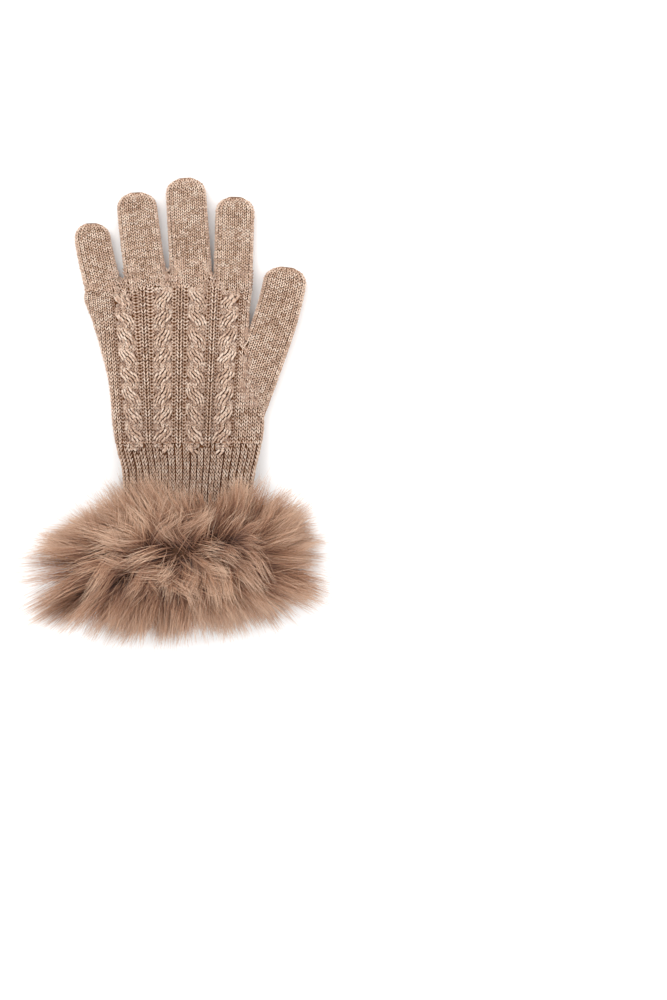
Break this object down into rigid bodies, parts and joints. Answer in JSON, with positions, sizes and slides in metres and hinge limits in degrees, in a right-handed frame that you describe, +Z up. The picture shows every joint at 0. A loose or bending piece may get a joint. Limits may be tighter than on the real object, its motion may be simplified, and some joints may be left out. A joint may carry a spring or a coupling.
{
  "type": "fur-cuffed cable-knit glove",
  "caption": "Knitted cashmere glove with a cable panel on its back, plain fingers, a ribbed wrist and a deep fur cuff, lying flat with its palm down.",
  "frame": {"origin": "on the surface that the glove rests on, under the middle of its bounding box", "axes": "+Y runs from the fur cuff to the fingertips, +X points to the thumb's side, +Z points up out of the back of the hand"},
  "size_m": [0.1822, 0.2788, 0.0508],
  "materials": {
    "knit": "beige-brown marled cashmere knit, matt and slightly fuzzy",
    "fur": "long soft fur, brown at the roots and pale beige at the tips"
  },
  "bodies": {
    "root": {"hand": "knit", "little_finger": "knit", "ring_finger": "knit", "middle_finger": "knit", "index_finger": "knit", "thumb": "knit", "ribbed_wrist": "knit", "fur_cuff": "fur"}
  },
  "joints": []
}
